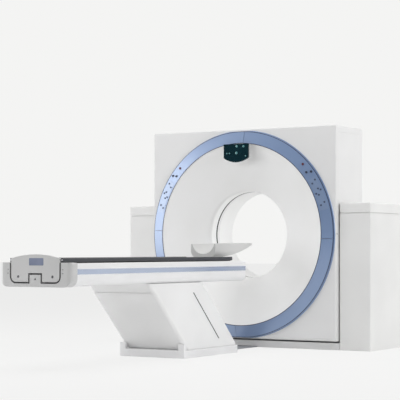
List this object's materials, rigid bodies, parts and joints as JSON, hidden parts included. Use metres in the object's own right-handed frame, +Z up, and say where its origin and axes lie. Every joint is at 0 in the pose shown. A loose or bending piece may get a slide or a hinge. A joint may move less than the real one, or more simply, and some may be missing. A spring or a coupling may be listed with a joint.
{
  "type": "ct scanner",
  "caption": "Whole-body CT scanner: a tilting square gantry with a coloured ring round a wide bore, between two side cabinets, with a patient table on a slanted lift column.",
  "frame": {"origin": "on the floor under the isocentre, midway through the gantry block", "axes": "+X to the right seen from the table's foot end, +Y from the table through the bore, +Z up"},
  "size_m": [2.23, 3.334, 1.756],
  "materials": {
    "cover_white": "moulded white cover with a satin gloss",
    "ring_blue": "pale blue moulded trim",
    "cover_grey": "light grey moulded cover",
    "holder_shell": "warm grey moulded shell",
    "carbon": "carbon-fibre tabletop, matt",
    "rail_black": "black rail",
    "display_glass": "dark teal display face",
    "window_film": "smooth film",
    "key_film": "printed film keypad",
    "button_red": "red button",
    "button_black": "black button",
    "seal": "black rubber",
    "frame_steel": "grey painted steel",
    "bright_steel": "machined steel",
    "bronze": "bronze",
    "rotor_alloy": "machined alloy plate",
    "tube_steel": "painted steel housing",
    "detector_black": "black detector housing"
  },
  "bodies": {
    "base": {"base_frame": "frame_steel", "plinth_cover": "cover_white", "tilt_stand_left": "frame_steel", "tilt_stand_right": "frame_steel", "tilt_bushes": "bronze", "cabinet_left": "cover_white", "cabinet_right": "cover_white", "cabinet_cap_left": "cover_white", "cabinet_cap_right": "cover_white", "pedestal_base": "cover_white", "column_shell": "cover_grey", "column_seals": "seal", "lift_actuator": "bright_steel"},
    "gantry": {"front_cover_upper": "cover_white", "front_cover_lower": "cover_white", "ring_trim": "ring_blue", "front_funnel": "cover_white", "front_liner": "cover_white", "scan_window": "window_film", "rear_liner": "cover_white", "rear_funnel": "cover_white", "rear_cover": "cover_white", "side_cover_left": "cover_white", "side_cover_right": "cover_white", "top_cover": "cover_white", "belly_pan": "cover_white", "tilt_frame": "frame_steel", "trunnions": "bright_steel", "drive_belt": "seal", "drive_motor": "tube_steel", "display_housing": "cover_grey", "display_glass": "display_glass", "keypad_left": "key_film", "keypad_right": "key_film"},
    "rotor": {"rotor_plate": "rotor_alloy", "rotor_bearing": "bright_steel", "xray_tube": "tube_steel", "collimator": "tube_steel", "detector_arc": "detector_black", "generator_boxes": "tube_steel", "slip_ring": "bronze"},
    "pulley": {"drive_pulley": "bright_steel"},
    "table": {"column_slide": "cover_white", "lift_rod": "bright_steel", "trough": "cover_white", "side_stripes": "ring_blue", "guide_beam": "frame_steel", "foot_cap": "cover_grey"},
    "cradle": {"tabletop": "carbon", "side_rails": "rail_black", "end_plate": "cover_grey", "end_window": "window_film", "carriage": "frame_steel", "head_holder": "holder_shell"},
    "stop_left": {"stop_button_left": "button_red"},
    "stop_right": {"stop_button_right": "button_red"},
    "start_left": {"start_button_left": "button_black"},
    "start_right": {"start_button_right": "button_black"},
    "light_left": {"light_button_left": "button_black"},
    "light_right": {"light_button_right": "button_black"}
  },
  "joints": [
    {"name": "gantry_tilt", "type": "hinge", "parent": "base", "child": "gantry", "pos_m": [0, 0, 0.907], "axis": [1, 0, 0], "range_deg": [-30, 30]},
    {"name": "rotor_spin", "type": "hinge", "parent": "gantry", "child": "rotor", "pos_m": [0, 0, 0.907], "axis": [0, 1, 0], "continuous": true},
    {"name": "pulley_spin", "type": "hinge", "parent": "gantry", "child": "pulley", "pos_m": [0.62, 0.065, 1.527], "axis": [0, 1, 0], "continuous": true},
    {"name": "table_lift", "type": "slide", "parent": "base", "child": "table", "axis": [0, -0.7193, 0.6947], "range_m": [-0.079, 0.144]},
    {"name": "cradle_travel", "type": "slide", "parent": "table", "child": "cradle", "axis": [0, 1, 0], "range_m": [0, 1.53]},
    {"name": "stop_press_left", "type": "slide", "parent": "gantry", "child": "stop_left", "axis": [0.1618, 0.9744, -0.1562], "range_m": [0, 0.003], "stiffness_N_per_m": 600, "springref_m": -0.002},
    {"name": "stop_press_right", "type": "slide", "parent": "gantry", "child": "stop_right", "axis": [-0.1618, 0.9744, -0.1562], "range_m": [0, 0.003], "stiffness_N_per_m": 600, "springref_m": -0.002},
    {"name": "start_press_left", "type": "slide", "parent": "gantry", "child": "start_left", "axis": [0.1786, 0.9744, -0.1366], "range_m": [0, 0.003], "stiffness_N_per_m": 600, "springref_m": -0.002},
    {"name": "start_press_right", "type": "slide", "parent": "gantry", "child": "start_right", "axis": [-0.1786, 0.9744, -0.1366], "range_m": [0, 0.003], "stiffness_N_per_m": 600, "springref_m": -0.002},
    {"name": "light_press_left", "type": "slide", "parent": "gantry", "child": "light_left", "axis": [0.1752, 0.9744, -0.1409], "range_m": [0, 0.003], "stiffness_N_per_m": 600, "springref_m": -0.002},
    {"name": "light_press_right", "type": "slide", "parent": "gantry", "child": "light_right", "axis": [-0.1752, 0.9744, -0.1409], "range_m": [0, 0.003], "stiffness_N_per_m": 600, "springref_m": -0.002}
  ],
  "couplings": [
    {"joint": "pulley_spin", "follows": "rotor_spin", "ratio": 11.092}
  ]
}
